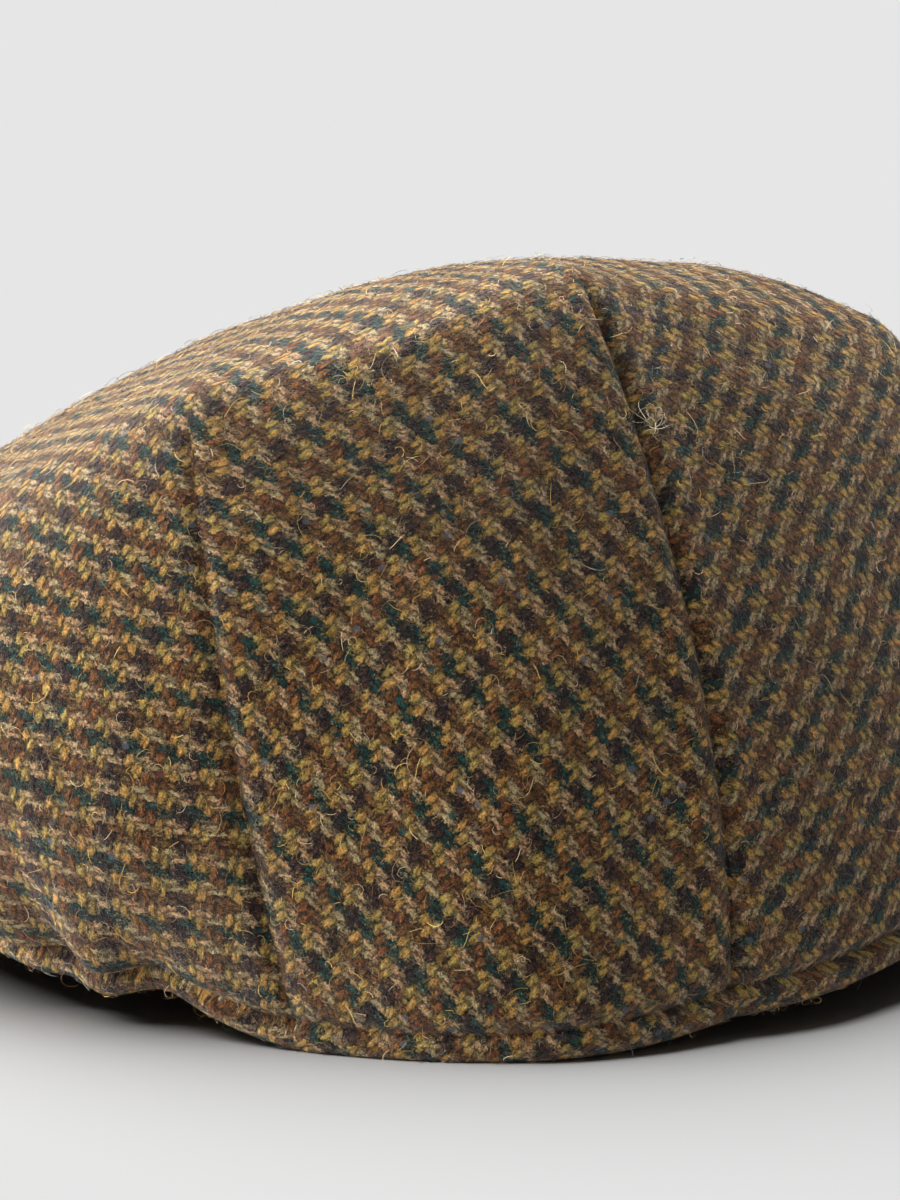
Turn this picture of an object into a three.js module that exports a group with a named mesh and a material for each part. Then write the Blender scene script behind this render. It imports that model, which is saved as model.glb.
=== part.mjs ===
// Flat cap in woollen tweed, resting as it lies on a table. Sizes are in millimetres.
// The middle of the head opening is the working origin: +Y is the back, +X the wearer's left, +Z up.
import * as THREE from 'three';

// Cloth
const WALL = 2.0;
const HEM_WALL = 2.8;
const HEM_STITCH = 4.0;
const HEM_ROLL = 1.5;
const HEM_CREASE = 0.8;
const GAP = 0.3;

// Peak
const PEAK_REACH = 160;
const PEAK_ROOT = 38;
const PEAK_HALF_WIDTH = 79;
const PEAK_THICK = 4;
const PEAK_TIP_THICK = 1.6;
const PEAK_TIP_TURN = 0.45;
const PEAK_FRONT_LIFT = 9.6;
const PEAK_RISE = 0.2;
const PEAK_ARCH_RADIUS = 100;
const PEAK_COLUMNS = 44;
const PEAK_ROWS = 6;

// Head opening
const HEAD_HALF_LENGTH = 98;
const HEAD_HALF_WIDTH = 78;

// Top of the crown: its height along the middle and the way it falls to the sides like a soft roof
const TOP = {
  startY: 56,
  startZ: 101.2,
  fall: 0.231,
  curve: 0.00083,
  roof: 0.517,
  roofGrow: 0.0029,
  roofMax: 0.82,
  soft: 45,
};
const TOP_MIDDLE = new THREE.Vector2(0, -20);
const TOP_SETTLE = 5;
// The top stands fuller on the right, behind the middle
const TOP_SWELL = { x: -42, y: 28, rise: 4.7, half: 22 };

// Sections of the crown from the centre back to the front, one row each, for the left side and mirrored.
// rim: place of the lower edge. lift: its height on the left and the right, none where it lies on the peak.
// knee: the point that the wall bulges towards. fold: place of the fold between wall and top.
// sink: how far that fold lies under the line of the top, on the left and the right.
// round: lengths over which the fold bends, on the wall and on the top.
const SECTION_COLUMNS = ['at', 'rim', 'lift', 'knee', 'fold', 'sink', 'round'];
const SECTIONS = [
  ['centre_back', [0, 101], [3, 3], [0, 96.2, 60.7], [0, 56.2], [3.5, 3.5], [6, 4]],
  ['back_panel', [29, 96], [-0.5, 5.8], [35, 88.5, 52.5], [29.5, 58], [8.5, 9.5], [16, 6]],
  ['side_dart', [54, 77.4], [-0.5, 8.5], [64, 72.5, 44], [56, 48.6], [1.3, 4], [8, 5]],
  ['rear_side', [73.9, 42.7], [4.8, 9], [99, 53, 29], [77, 22], [0, 0], [20, 13]],
  ['side', [81.5, -3.5], [9, 9], [108, -2, 27], [82, -12], [0, 0], [20, 18]],
  ['temple', [75.6, -38], null, [98, -45, 22], [74, -52], [0, 0], [14, 14]],
  ['front_side', [60, -103], null, [67, -110, 19], [52, -96], [0, 0], [9, 9]],
  ['front', [0, -147], null, [0, -152, 27], [0, -134], [0, 0], [6, 6]],
].map((row) => Object.fromEntries(row.map((value, k) => [SECTION_COLUMNS[k], value])));
const DART_SECTION = 2;

// Soft folds of the wall. side: 1 left, -1 right. along: distance round the wall from the centre back.
// top: height above the hem where the fold dies out. swell: outward height, inward if below zero.
// half: half its width.
const FOLDS = [
  { side: 1, along: 104, top: 30, swell: -2.6, half: 4.5 },
  { side: 1, along: 96.5, top: 18, swell: 2.0, half: 4.5 },
  { side: 1, along: 88, top: 13, swell: -1.4, half: 4 },
  { side: 1, along: 32, top: 88, swell: 1.8, half: 19 },
  { side: -1, along: 38, top: 80, swell: -0.8, half: 15 },
];
const HEM_HOLD = 9;
// The hem stands off the table at one place. top: height above the hem where the lift dies out.
const HEM_RISE = { side: 1, along: 88, rise: 2.6, half: 8, top: 26 };

// Sewn darts
const DART_DEPTH = 0.9;
const DART_HALF = 1.8;
const DART_PUFF = 0.4;
const DART_PUFF_AT = 4.5;

// Spacing of the facets
const STEP_WIDE = 9.5;
const STEP_FINE = 3;
const DART_STEPS = [2.2, 5];
const CURVE_STEPS = 32;
const HEM_ROWS = [0, 1.3, 2.8, HEM_STITCH, 5.6];
const WALL_ROWS = [0.14, 0.3, 0.48, 0.66, 0.83];
const BEND_ROWS = [-1, -0.5, 0, 0.5, 1];
const TOP_ROWS = [0.16, 0.33, 0.5, 0.68, 0.86];

function bell(distance, half) {
  return Math.exp(-((distance / half) ** 2));
}

function peakTop(x, y) {
  const rise = PEAK_RISE * (y + PEAK_REACH);
  return PEAK_FRONT_LIFT + rise - (x * x) / (2 * PEAK_ARCH_RADIUS) + PEAK_THICK;
}

function crownTop(x, y) {
  const ahead = TOP.startY - y;
  const roof = Math.min(TOP.roof + TOP.roofGrow * ahead, TOP.roofMax);
  const middle = TOP.startZ - TOP.fall * ahead - TOP.curve * ahead * Math.abs(ahead);
  const swell = TOP_SWELL.rise * bell(Math.hypot(x - TOP_SWELL.x, y - TOP_SWELL.y), TOP_SWELL.half);
  return middle - roof * (Math.hypot(x, TOP.soft) - TOP.soft) + swell;
}

// Values of a section in the order rim, knee, fold and round
function sectionValues(row, side) {
  const [rimX, rimY] = row.rim;
  const [foldX, foldY] = row.fold;
  const hand = side > 0 ? 0 : 1;
  const lift = row.lift ? row.lift[hand] : peakTop(rimX, rimY) + GAP;
  const foldZ = crownTop(side * foldX, foldY) - row.sink[hand];
  return [rimX, rimY, lift, ...row.knee, foldX, foldY, foldZ, ...row.round];
}

// Smooth run of sections: positions along the wall and slopes at each section
function makeRun(rows, side, start, endsAtFront) {
  const values = rows.map((row) => sectionValues(row, side));
  const at = [start];
  for (let i = 1; i < rows.length; i += 1) {
    const dx = rows[i].knee[0] - rows[i - 1].knee[0];
    const dy = rows[i].knee[1] - rows[i - 1].knee[1];
    at.push(at[i - 1] + Math.hypot(dx, dy));
  }
  const last = rows.length - 1;
  const step = (i) => at[i + 1] - at[i];
  const rate = (i, k) => (values[i + 1][k] - values[i][k]) / step(i);
  const slopes = values.map(() => []);
  for (let k = 0; k < values[0].length; k += 1) {
    for (let i = 1; i < last; i += 1) {
      slopes[i][k] = (rate(i - 1, k) * step(i) + rate(i, k) * step(i - 1)) / (step(i) + step(i - 1));
    }
    slopes[0][k] = 2 * rate(0, k) - slopes[1][k];
    slopes[last][k] = 2 * rate(last - 1, k) - slopes[last - 1][k];
    if (endsAtFront) {
      const crossesMiddle = k === 0 || k === 3 || k === 6;
      slopes[last][k] = crossesMiddle ? 1.35 * rate(last - 1, k) : 0;
    }
  }
  return { at, values, slopes, end: at[last] };
}

function runValues(run, along) {
  let i = 0;
  while (i < run.at.length - 2 && along > run.at[i + 1]) {
    i += 1;
  }
  const width = run.at[i + 1] - run.at[i];
  const u = (along - run.at[i]) / width;
  const a = 2 * u ** 3 - 3 * u ** 2 + 1;
  const b = (u ** 3 - 2 * u ** 2 + u) * width;
  const c = 3 * u ** 2 - 2 * u ** 3;
  const d = (u ** 3 - u ** 2) * width;
  return run.values[i].map((value, k) => {
    const near = a * value + b * run.slopes[i][k];
    return near + c * run.values[i + 1][k] + d * run.slopes[i + 1][k];
  });
}

function makeHalf(side) {
  const back = makeRun(SECTIONS.slice(0, DART_SECTION + 1), side, 0, false);
  const front = makeRun(SECTIONS.slice(DART_SECTION), side, back.end, true);
  return { side, back, front, dart: back.end, end: front.end };
}

function bend(a, b, c, u) {
  const p = a.clone().multiplyScalar((1 - u) ** 2);
  p.addScaledVector(b, 2 * u * (1 - u));
  return p.addScaledVector(c, u * u);
}

// One section curve, from the rim up the wall, over the fold and in to the middle of the top
function sectionCurve(half, along) {
  const run = along <= half.dart ? half.back : half.front;
  const v = runValues(run, along);
  const rim = new THREE.Vector3(v[0], v[1], v[2]);
  const knee = new THREE.Vector3(v[3], v[4], v[5]);
  const fold = new THREE.Vector3(v[6], v[7], v[8]);
  const points = [];
  for (let i = 0; i <= CURVE_STEPS; i += 1) {
    points.push(bend(rim, knee, fold, i / CURVE_STEPS));
  }
  const sunk = fold.z - crownTop(half.side * fold.x, fold.y);
  for (let i = 1; i <= CURVE_STEPS; i += 1) {
    const u = i / CURVE_STEPS;
    const x = fold.x + (TOP_MIDDLE.x - fold.x) * u;
    const y = fold.y + (TOP_MIDDLE.y - fold.y) * u;
    points.push(new THREE.Vector3(x, y, crownTop(half.side * x, y) + sunk * (1 - u) ** TOP_SETTLE));
  }
  const lengths = [0];
  for (let i = 1; i < points.length; i += 1) {
    lengths.push(lengths[i - 1] + points[i].distanceTo(points[i - 1]));
  }
  const wall = lengths[CURVE_STEPS];
  return {
    points,
    lengths,
    fold,
    wall,
    bendStart: wall - v[9],
    bendEnd: wall + v[10],
    total: lengths[lengths.length - 1],
  };
}

function plainPoint(curve, up) {
  let i = 0;
  while (i < curve.lengths.length - 2 && up > curve.lengths[i + 1]) {
    i += 1;
  }
  const u = (up - curve.lengths[i]) / (curve.lengths[i + 1] - curve.lengths[i]);
  return curve.points[i].clone().lerp(curve.points[i + 1], u);
}

function curvePoint(curve, up) {
  const { bendStart, bendEnd } = curve;
  if (up <= bendStart || up >= bendEnd) {
    return plainPoint(curve, up);
  }
  const start = plainPoint(curve, bendStart);
  const end = plainPoint(curve, bendEnd);
  return bend(start, curve.fold, end, (up - bendStart) / (bendEnd - bendStart));
}

// Heights of the facet rows on one section, measured along its curve
function rowHeights(curve) {
  const hem = HEM_ROWS[HEM_ROWS.length - 1];
  const { wall, bendStart, bendEnd } = curve;
  return [
    ...HEM_ROWS,
    ...WALL_ROWS.map((u) => hem + (bendStart - hem) * u),
    ...BEND_ROWS.map((u) => wall + Math.abs(u) * ((u < 0 ? bendStart : bendEnd) - wall)),
    ...TOP_ROWS.map((u) => bendEnd + (curve.total - bendEnd) * u),
  ];
}

function hemRise(half, along, up) {
  if (half.side !== HEM_RISE.side) {
    return 0;
  }
  const fade = Math.max(0, 1 - up / HEM_RISE.top) ** 2;
  return HEM_RISE.rise * bell(along - HEM_RISE.along, HEM_RISE.half) * fade;
}

function foldSwell(half, along, up) {
  let swell = 0;
  for (const fold of FOLDS) {
    if (fold.side === half.side) {
      const fade = Math.max(0, 1 - (up / fold.top) ** 2) * Math.min(1, 0.3 + up / HEM_HOLD);
      swell += fold.swell * bell(along - fold.along, fold.half) * fade;
    }
  }
  return swell;
}

function dartSwell(half, along, up, wall) {
  const away = Math.min(along, Math.abs(along - half.dart));
  const fade = Math.min(1, Math.max(0, (wall - up) / 10));
  const puff = DART_PUFF * bell(away - DART_PUFF_AT, DART_HALF);
  return (puff - DART_DEPTH * bell(away, DART_HALF)) * fade;
}

// Rolled hem: rounded at the edge, drawn in at the stitching
function hemSwell(up) {
  const middle = HEM_STITCH / 2;
  const roll = HEM_ROLL * Math.sqrt(Math.max(0, 1 - ((up - middle) / middle) ** 2));
  return up < HEM_STITCH ? roll - HEM_CREASE : -HEM_CREASE * bell(up - HEM_STITCH, 1.5);
}

// Columns of facets, closer together at the darts and the folds
function columnPlaces(half) {
  const places = [0];
  const isFine = (along) => FOLDS.some(
    (f) => f.side === half.side && f.half < 6 && Math.abs(along - f.along) < 2 * f.half + STEP_FINE,
  );
  while (places[places.length - 1] < half.end - STEP_WIDE) {
    const here = places[places.length - 1];
    places.push(here + (isFine(here + STEP_FINE) ? STEP_FINE : STEP_WIDE));
  }
  const dartPlaces = [half.dart, ...DART_STEPS.flatMap((s) => [half.dart - s, half.dart + s]), ...DART_STEPS];
  const kept = places.filter((p) => p === 0 || dartPlaces.every((d) => Math.abs(p - d) > STEP_FINE));
  return [...kept, ...dartPlaces, half.end].sort((p, q) => p - q);
}

// All columns round the crown: the left side from back to front, then the right side from front to back
function crownColumns() {
  const left = makeHalf(1);
  const right = makeHalf(-1);
  const columns = columnPlaces(left).map((along) => ({ half: left, along }));
  const back = columnPlaces(right).slice(1, -1).reverse();
  return [...columns, ...back.map((along) => ({ half: right, along }))];
}

function addBand(index, a, b, c, d) {
  index.push(a, b, c, a, c, d);
}

function makeGeometry(positions, index) {
  const geometry = new THREE.BufferGeometry();
  geometry.setAttribute('position', new THREE.Float32BufferAttribute(positions, 3));
  geometry.setIndex(index);
  return geometry;
}

// Nothing goes below the table, and the front of the crown stays just above the peak
function settle(p) {
  let low = 0;
  if (p.y < 12 - PEAK_ROOT) {
    low = Math.max(0, peakTop(p.x, p.y) + GAP);
  }
  return new THREE.Vector3(p.x, p.y, Math.max(p.z, low));
}

function makeCrown() {
  const columns = crownColumns();
  const rows = HEM_ROWS.length + WALL_ROWS.length + BEND_ROWS.length + TOP_ROWS.length;
  const sheet = [];
  const swells = [];
  for (const { half, along } of columns) {
    const curve = sectionCurve(half, along);
    for (const up of rowHeights(curve)) {
      const p = curvePoint(curve, up);
      sheet.push(p.x * half.side, p.y, p.z + hemRise(half, along, up));
      const onWall = up < curve.wall ? foldSwell(half, along, up) : 0;
      swells.push([onWall, dartSwell(half, along, up, curve.wall) + hemSwell(up)]);
    }
  }
  sheet.push(TOP_MIDDLE.x, TOP_MIDDLE.y, crownTop(TOP_MIDDLE.x, TOP_MIDDLE.y));
  swells.push([0, 0]);
  const count = columns.length;
  const middle = count * rows;
  const faces = [];
  for (let i = 0; i < count; i += 1) {
    const next = (i + 1) % count;
    for (let j = 0; j < rows - 1; j += 1) {
      addBand(faces, i * rows + j, i * rows + j + 1, next * rows + j + 1, next * rows + j);
    }
    faces.push(i * rows + rows - 1, middle, next * rows + rows - 1);
  }
  const plain = makeGeometry(sheet, faces);
  plain.computeVertexNormals();
  const normal = plain.getAttribute('normal');
  const at = (k) => new THREE.Vector3(sheet[3 * k], sheet[3 * k + 1], sheet[3 * k + 2]);
  const out = (k) => new THREE.Vector3(normal.getX(k), normal.getY(k), normal.getZ(k));
  const outer = [];
  const inner = [];
  for (let k = 0; k <= middle; k += 1) {
    const [fold, detail] = swells[k];
    const row = k % rows;
    const inHem = k < middle && row < HEM_ROWS.length - 1;
    outer.push(settle(at(k).addScaledVector(out(k), fold + detail)));
    inner.push(settle(at(k).addScaledVector(out(k), fold - (inHem ? HEM_WALL : WALL))));
  }
  return closeShell(outer, inner, count, rows);
}

// Closes the outer and inner skins into one thin solid. The inner skin leaves out the rows inside the hem.
function closeShell(outer, inner, count, rows) {
  const positions = [];
  const index = [];
  const innerRows = [0];
  for (let j = HEM_ROWS.length - 1; j < rows; j += 1) {
    innerRows.push(j);
  }
  for (const p of outer) {
    positions.push(p.x, p.y, p.z);
  }
  const innerStart = outer.length;
  const innerCount = innerRows.length;
  for (let i = 0; i < count; i += 1) {
    for (const j of innerRows) {
      const p = inner[i * rows + j];
      positions.push(p.x, p.y, p.z);
    }
  }
  const innerMiddle = innerStart + count * innerCount;
  const last = inner[inner.length - 1];
  positions.push(last.x, last.y, last.z);
  const out = (i, j) => (i % count) * rows + j;
  const inn = (i, j) => innerStart + (i % count) * innerCount + j;
  for (let i = 0; i < count; i += 1) {
    for (let j = 0; j < rows - 1; j += 1) {
      addBand(index, out(i, j), out(i, j + 1), out(i + 1, j + 1), out(i + 1, j));
    }
    index.push(out(i, rows - 1), count * rows, out(i + 1, rows - 1));
    for (let j = 0; j < innerCount - 1; j += 1) {
      addBand(index, inn(i, j), inn(i + 1, j), inn(i + 1, j + 1), inn(i, j + 1));
    }
    index.push(inn(i, innerCount - 1), inn(i + 1, innerCount - 1), innerMiddle);
    addBand(index, out(i, 0), out(i + 1, 0), inn(i + 1, 0), inn(i, 0));
  }
  return makeGeometry(positions, index);
}

// The peak: a curved plate with a rounded outer edge, from the front of the head opening forward
function makePeak() {
  const positions = [];
  const index = [];
  const loop = 2 * PEAK_ROWS + 1;
  for (let i = 0; i <= PEAK_COLUMNS; i += 1) {
    const turn = Math.PI * (i / PEAK_COLUMNS - 0.5);
    const full = Math.min(1, (Math.PI / 2 - Math.abs(turn)) / PEAK_TIP_TURN);
    const thick = PEAK_TIP_THICK + (PEAK_THICK - PEAK_TIP_THICK) * Math.sin((full * Math.PI) / 2);
    const half = thick / 2;
    const outX = PEAK_HALF_WIDTH * Math.sin(turn);
    const outY = -PEAK_ROOT - (PEAK_REACH - PEAK_ROOT) * Math.cos(turn);
    const tip = Math.asin(PEAK_ROOT / HEAD_HALF_LENGTH);
    const headTurn = turn * (1 - tip / (Math.PI / 2));
    const inX = HEAD_HALF_WIDTH * Math.sin(headTurn);
    const inY = -HEAD_HALF_LENGTH * Math.cos(headTurn);
    const width = Math.hypot(outX - inX, outY - inY);
    const edge = Math.min(half, width / 3) / width;
    const place = (u, down) => {
      const x = inX + (outX - inX) * u;
      const y = inY + (outY - inY) * u;
      positions.push(x, y, Math.max(0, peakTop(x, y) - down));
    };
    for (let j = 0; j < PEAK_ROWS; j += 1) {
      place((1 - edge) * (j / (PEAK_ROWS - 1)), 0);
    }
    place(1, half);
    for (let j = PEAK_ROWS - 1; j >= 0; j -= 1) {
      place((1 - edge) * (j / (PEAK_ROWS - 1)), thick);
    }
  }
  for (let i = 0; i < PEAK_COLUMNS; i += 1) {
    for (let j = 0; j < loop; j += 1) {
      const next = (j + 1) % loop;
      addBand(index, i * loop + j, i * loop + next, (i + 1) * loop + next, (i + 1) * loop + j);
    }
  }
  const lastStart = PEAK_COLUMNS * loop;
  for (let j = 0; j < PEAK_ROWS - 1; j += 1) {
    const low = loop - 1 - j;
    addBand(index, j, low, low - 1, j + 1);
    addBand(index, lastStart + j, lastStart + j + 1, lastStart + low - 1, lastStart + low);
  }
  const edgeRow = PEAK_ROWS;
  index.push(edgeRow - 1, edgeRow + 1, edgeRow);
  index.push(lastStart + edgeRow - 1, lastStart + edgeRow, lastStart + edgeRow + 1);
  return makeGeometry(positions, index);
}

function addPiece(group, name, geometry, material) {
  const mesh = new THREE.Mesh(geometry, material);
  mesh.name = name;
  group.add(mesh);
}

const cap = new THREE.Group();
cap.name = 'flat_cap';
const crownCloth = new THREE.MeshStandardMaterial({ name: 'crown_tweed', color: 0x5c4830, roughness: 0.95 });
const peakCloth = new THREE.MeshStandardMaterial({ name: 'peak_tweed', color: 0x5c4830, roughness: 0.95 });
addPiece(cap, 'crown', makeCrown(), crownCloth);
addPiece(cap, 'peak', makePeak(), peakCloth);

// The finished cap stands on its lowest points, with its middle over the origin
const box = new THREE.Box3().setFromObject(cap);
const centre = box.getCenter(new THREE.Vector3());
for (const mesh of cap.children) {
  mesh.geometry.translate(-centre.x, -centre.y, -box.min.z);
}

export default cap;
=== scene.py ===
"""Flat cap in woollen tweed: its cloth, weave and fibres, with a plain studio.

Sizes are in millimetres in the cap's own frame, with the middle of the head opening as origin:
+Y is the back, +X the wearer's left, +Z up. They become metres in the CAD frame at the end.
"""
import math

import bpy
import numpy as np
from mathutils import Matrix, Vector


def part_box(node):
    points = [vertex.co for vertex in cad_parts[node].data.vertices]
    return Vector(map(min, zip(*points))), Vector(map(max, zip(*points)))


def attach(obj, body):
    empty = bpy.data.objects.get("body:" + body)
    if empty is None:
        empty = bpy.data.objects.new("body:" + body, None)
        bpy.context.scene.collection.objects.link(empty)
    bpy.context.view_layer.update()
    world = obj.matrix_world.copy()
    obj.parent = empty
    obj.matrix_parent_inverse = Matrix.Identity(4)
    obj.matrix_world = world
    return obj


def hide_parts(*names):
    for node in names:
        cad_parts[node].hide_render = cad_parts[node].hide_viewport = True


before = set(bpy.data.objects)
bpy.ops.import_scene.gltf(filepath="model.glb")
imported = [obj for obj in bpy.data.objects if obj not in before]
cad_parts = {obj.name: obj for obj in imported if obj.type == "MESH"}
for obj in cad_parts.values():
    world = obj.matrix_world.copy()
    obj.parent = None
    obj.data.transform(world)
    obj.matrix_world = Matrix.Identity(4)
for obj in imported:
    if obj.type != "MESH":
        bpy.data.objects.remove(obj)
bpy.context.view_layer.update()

MM = 0.001


def table(columns, *rows):
    """Rows of values, each under the names of its columns."""
    return [dict(zip(columns, row)) for row in rows]


# Cloth
WALL = 2.0
HEM_STITCH = 4.0
HEM_WALL = 2.8
HEM_WALL_TO = HEM_STITCH + 1
HEM_ROLL = 2.2
HEM_CREASE = 1.5
HEM_CREASE_HALF = 1.2
# Underside of the hem: places across it, as shares, and how far its middle bulges down
HEM_LIP_AT = (0.2, 0.5, 0.8)
HEM_LIP_DROP = 0.8

# Peak
PEAK_REACH = 160
PEAK_ROOT = 38
PEAK_HALF_WIDTH = 79
PEAK_THICK = 4
PEAK_TIP_THICK = 1.6
PEAK_TIP_TURN = 0.45
PEAK_FRONT_LIFT = 9.6
PEAK_RISE = 0.2
PEAK_ARCH_RADIUS = 100
HEAD_HALF_LENGTH = 98
HEAD_HALF_WIDTH = 78
# The crown's front is kept this far above the peak, from a little behind the peak's root
GAP = 0.3
GAP_FROM = 12 - PEAK_ROOT

# Top of the crown
TOP_START = (56, 101.2)
TOP_FALL = 0.231
TOP_CURVE = 0.00083
TOP_ROOF = (0.517, 0.0029, 0.82)
TOP_SOFT = 45
TOP_MIDDLE = (0, -20)
TOP_SETTLE = 5
TOP_SWELL = {"x": -42, "y": 28, "rise": 4.7, "half": 22}

# Sections of the crown from the centre back to the front, for the left side and mirrored.
# rim: place of the lower edge. lift: its height, on the left and the right, or none on the peak.
# knee: the point that the wall bulges towards. fold: place of the fold between wall and top.
# sink: how far that fold lies under the line of the top, on the left and the right.
# round: lengths over which the fold bends, on the wall and on the top.
SECTIONS = table(
    ("rim", "lift", "knee", "fold", "sink", "round"),
    ((0, 101), (3, 3), (0, 96.2, 60.7), (0, 56.2), (3.5, 3.5), (6, 4)),
    ((29, 96), (-0.5, 5.8), (35, 88.5, 52.5), (29.5, 58), (8.5, 9.5), (14, 3)),
    ((54, 77.4), (-0.5, 8.5), (64, 72.5, 44), (56, 48.6), (1.3, 4), (8, 5)),
    ((73.9, 42.7), (4.8, 9), (99, 53, 29), (77, 22), (0, 0), (20, 13)),
    ((81.5, -3.5), (9, 9), (108, -2, 27), (82, -12), (0, 0), (20, 18)),
    ((75.6, -38), None, (98, -45, 22), (74, -52), (0, 0), (14, 14)),
    ((60, -103), None, (67, -110, 19), (52, -96), (0, 0), (9, 9)),
    ((0, -147), None, (0, -152, 27), (0, -134), (0, 0), (6, 6)),
)
DART_SECTION = 2
FRONT_SLOPE = 1.35
# Where a section's row of numbers has its parts, and the places across among them
RIM, KNEE, FOLD, ROUND = slice(0, 3), slice(3, 6), slice(6, 9), slice(9, 11)
ACROSS = [0, 3, 6]

# Soft folds of the wall. side: 1 left, -1 right. along: distance round the wall from the centre back.
# top: height above the hem where the fold dies out. swell: outward height. half: half its width.
FOLDS = table(
    ("side", "along", "top", "swell", "half"),
    (1, 104, 30, -2.6, 4.5),
    (1, 96.5, 18, 2.0, 4.5),
    (1, 88, 13, -1.4, 4),
    (1, 32, 88, 1.8, 19),
    (-1, 38, 80, -0.8, 15),
)
# The hem holds the folds back: their share at its edge, and the height over which they grow
HEM_HOLD_SHARE = 0.3
HEM_HOLD = 9
# The hem stands off the table at one place. top: height above the hem where the lift dies out.
HEM_RISE = {"side": 1, "along": 88, "rise": 2.6, "half": 8, "top": 26}

# Sewn darts: depth of the groove, and the puff of the cloth beside it
CENTRE_GROOVE = 1.5
CENTRE_PUFF = 0.5
SIDE_GROOVE = 0.8
SIDE_PUFF = 0.1
DART_HALF = 0.9
DART_PUFF_AT = 3.2
DART_PUFF_HALF = 2.2
# A dart is shallow at the hem, and fades out just past the top of the wall
DART_END = 7
DART_END_SHARE = 0.3
DART_PAST = 2
DART_FADE = 10

# Gentle unevenness of the cloth: length of the bumps, their height and the seed of each layer
RELIEF = ((42, 0.22, 3), (16, 0.10, 5))
RELIEF_WAVES = 18
RELIEF_LENGTHS = (0.7, 1.5)

# Spacing of the fine mesh
CURVE_STEPS = 160
COLUMN_STEP = (0.5, 0.14, 1.7, 2.6)
FRONT_FROM = 235
HEM_ROWS = np.linspace(0, 8, 15)
WALL_ROWS = np.arange(1, 53) / 53
BEND_ROWS = np.linspace(-1, 1, 15)
TOP_ROWS = np.arange(1, 46) / 46
FOLD_ROW = len(HEM_ROWS) + len(WALL_ROWS) + len(BEND_ROWS) // 2
INNER_ROW_STEP = 6
PEAK_COLUMNS = 160
PEAK_ROWS = 30
PEAK_EDGE_STEPS = 6

# Flat pattern: its spacing in columns and rows, and the passes that lay it out
FLAT_STEP = (5, 4)
FLAT_PASSES = 40
# The part of the top that sets how it is turned
FLAT_TOP_REACH = 40
FLAT_TOP_HEIGHT = 50

# Weave: thread pitch, threads that a float passes over, and the order of the yarns in one repeat
WARP_PITCH = 1.02
WEFT_PITCH = 1.28
FLOAT = 2
WARP = ("taupe", "brown", "brown", "taupe", "taupe", "green", "green", "taupe")
WEFT = ("ochre", "ochre", "aubergine", "aubergine", "ochre", "ochre", "rust", "rust")
# How the threads lie: the turn of the cloth on each side, and in the panels between the darts.
# The turn of a side grows outwards and to the back: where that starts, and over what length.
SIDE_TURN = math.radians(15)
SIDE_PIVOT = (62, 22)
SIDE_OUT = (12, 58)
SIDE_BACK = (-80, 70)
PANEL_TURNS = (math.radians(-4), None, math.radians(7))
BACK_EASE = 38
# Yarn colours: body, pale fibres and deep fibres of each
YARNS = {
    "taupe": ((0.50, 0.315, 0.145), (0.80, 0.59, 0.34), (0.195, 0.105, 0.042)),
    "brown": ((0.127, 0.053, 0.019), (0.305, 0.135, 0.045), (0.034, 0.015, 0.008)),
    "green": ((0.011, 0.035, 0.030), (0.025, 0.110, 0.093), (0.007, 0.010, 0.010)),
    "ochre": ((0.555, 0.32, 0.080), (0.82, 0.56, 0.17), (0.26, 0.115, 0.024)),
    "aubergine": ((0.031, 0.016, 0.014), (0.105, 0.052, 0.045), (0.012, 0.007, 0.007)),
    "rust": ((0.175, 0.067, 0.022), (0.425, 0.175, 0.052), (0.054, 0.018, 0.008)),
}

# Look of the weave. noise: scale, detail, roughness, distortion. step: start and end of a soft step.
# depth: sets one use of a noise off from the others.
# Wander of the threads: noises, each with its size in millimetres
WANDER = (((0.16, 1.0), 0.9), ((0.9, 2.0), 0.9), ((1.8, 2.0, 0.6), 1.3))
# Stray fibres come from yarns a little way off
STRAY_NOISE, STRAY_DEPTH = (1.1, 2.0, 0.6), 5.0
STRAY_SIZE = 6.0
# Pale and deep fibres within a yarn
HEATHER_NOISE = (1.0, 4.0, 0.65, 0.6)
HEATHER_FINE, HEATHER_LONG = 2.6, 1.1
HEATHER_APART = 40.0
PALE_STEP, DEEP_STEP = (0.46, 0.62), (0.50, 0.38)
# Stray fibres laid over the yarns
TONE_NOISE, TONE_DEPTH = (2.2, 2.5, 0.6, 0.8), 12.0
TONE_STEP = (0.50, 0.62)
STRAY_PALE, STRAY_DEEP = 0.4, 0.5
# Rounding of the yarns, and painted shade on them: darker in the gaps between them, lighter on their
# tops
YARN_ROUND = 0.7
YARN_DIP = 0.35
YARN_SHADE_STEP = (0.10, 0.95)
YARN_PAINTED_SHADES = (0.05, 1.35)
# Broad warm and cool patches
WARM_NOISE, WARM_DEPTH = (0.55, 2.0, 0.6), 21.0
WARM_STEP = (0.42, 0.58)
COOL_TINT, WARM_TINT = (0.88, 1.02, 0.95, 1), (1.18, 0.98, 0.92, 1)
# Fine strands: scale and depth of each layer, for pale curls and for dark gaps of painted shade between
# them
STRAND_NOISE = (2.0, 0.5, 2.2)
STRAND_STEP = (0.020, 0.007)
CURL_LAYERS = ((0.8, 3.0), (1.2, 9.0), (1.9, 15.0))
CURL_STEP = (0.42, 0.52)
CURL_SHARE = 0.62
CURL_RELIEF = 0.25
GAP_SHADE_LAYERS = ((1.0, 30.0), (1.6, 36.0))
GAP_PAINTED_SHADES = (1.08, 0.5)
TONE_RELIEF = 2.0
# Rare bright neps, each in a cell of the cloth
NEP_SCALE = 0.33
NEP_SIZE = 0.16
NEP_CHANCE = 0.16
NEP_SHARE = 0.7
NEP_COLOURS = ((0.20, 0.05, 0.04), (0.16, 0.20, 0.26), (0.34, 0.19, 0.03), (0.02, 0.13, 0.11))

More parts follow.
